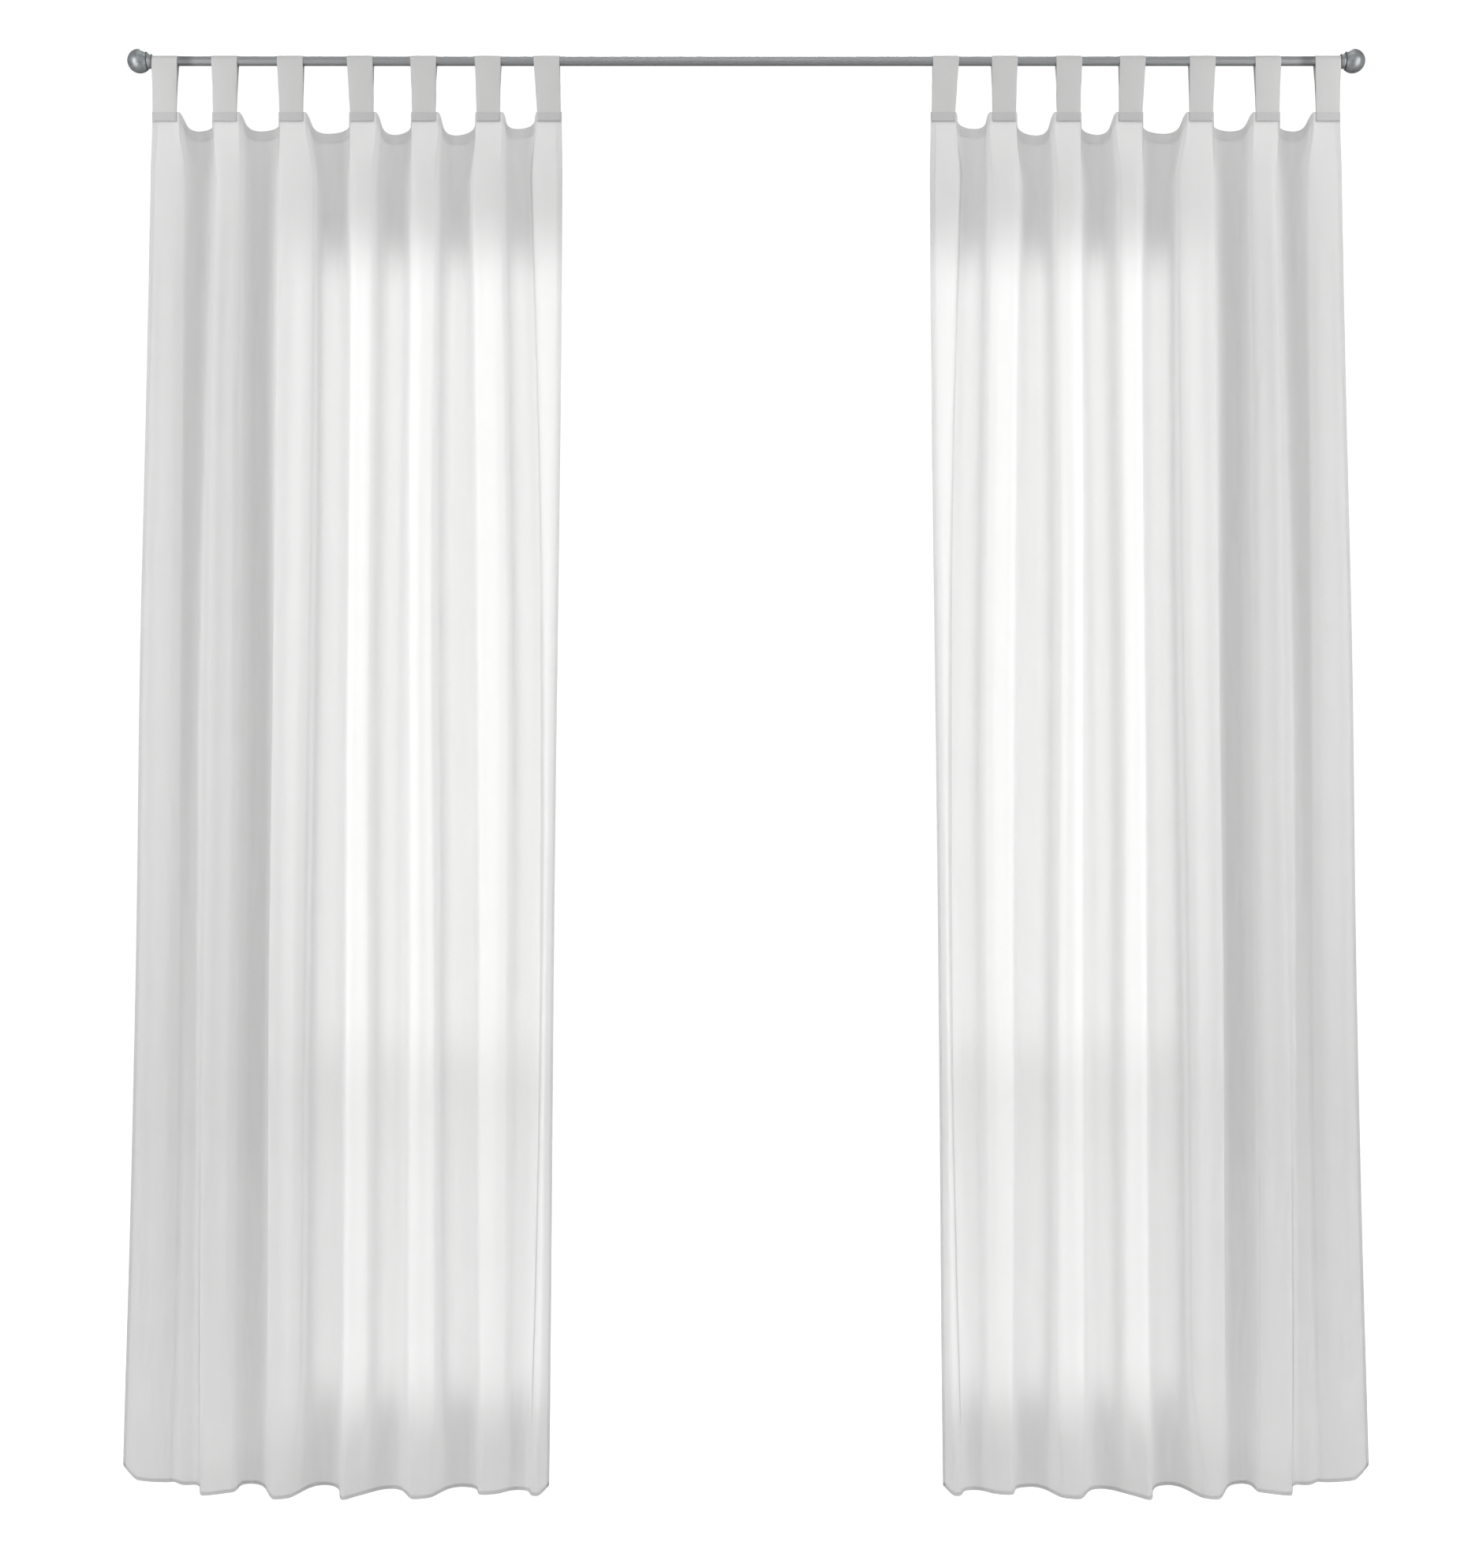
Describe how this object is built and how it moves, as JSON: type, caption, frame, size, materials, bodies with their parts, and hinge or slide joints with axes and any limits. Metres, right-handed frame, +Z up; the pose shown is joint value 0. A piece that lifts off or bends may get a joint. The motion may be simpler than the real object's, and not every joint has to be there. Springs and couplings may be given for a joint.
{
  "type": "sheer voile curtain pair on rod",
  "caption": "White sheer tab-top curtains hanging in soft folds from a round grey metal rod with ball finials.",
  "frame": {"origin": "on the rod's axis, midway between its ends", "axes": "+X along the rod to the right as seen from the room, +Y back towards the wall, +Z up; the curtains hang down along -Z"},
  "size_m": [2.173, 0.1185, 2.466],
  "materials": {
    "rod_metal": "satin drawn tube",
    "finial_metal": "pewter-effect satin on cast zinc",
    "voile": "sheer plain-weave polyester voile, one layer",
    "voile_tab": "sheer plain-weave polyester voile, folded double"
  },
  "bodies": {
    "root": {"rod": "rod_metal", "finial_left": "finial_metal", "finial_right": "finial_metal", "panel_left": "voile", "panel_right": "voile", "tab_left_1": "voile_tab", "tab_left_2": "voile_tab", "tab_left_3": "voile_tab", "tab_left_4": "voile_tab", "tab_left_5": "voile_tab", "tab_left_6": "voile_tab", "tab_left_7": "voile_tab", "tab_right_1": "voile_tab", "tab_right_2": "voile_tab", "tab_right_3": "voile_tab", "tab_right_4": "voile_tab", "tab_right_5": "voile_tab", "tab_right_6": "voile_tab", "tab_right_7": "voile_tab"}
  },
  "joints": []
}
